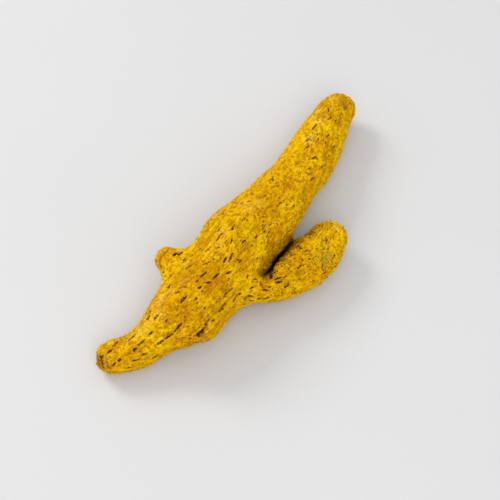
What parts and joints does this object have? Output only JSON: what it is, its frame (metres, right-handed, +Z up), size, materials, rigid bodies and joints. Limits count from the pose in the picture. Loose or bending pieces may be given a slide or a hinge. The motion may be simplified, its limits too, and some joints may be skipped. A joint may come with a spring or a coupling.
{
  "type": "dried turmeric root",
  "caption": "Whole dried turmeric root: a tapering golden ochre finger with a short side finger and a bud stub, lying on its side.",
  "frame": {"origin": "on the surface that the root lies on, under the middle of its box", "axes": "+X along the finger, from its scarred end to its rounded end, +Y towards the bud stub, +Z up"},
  "size_m": [0.0748, 0.0256, 0.0138],
  "materials": {
    "dried_skin": "matte"
  },
  "bodies": {
    "root": {"turmeric_root": "dried_skin"}
  },
  "joints": []
}
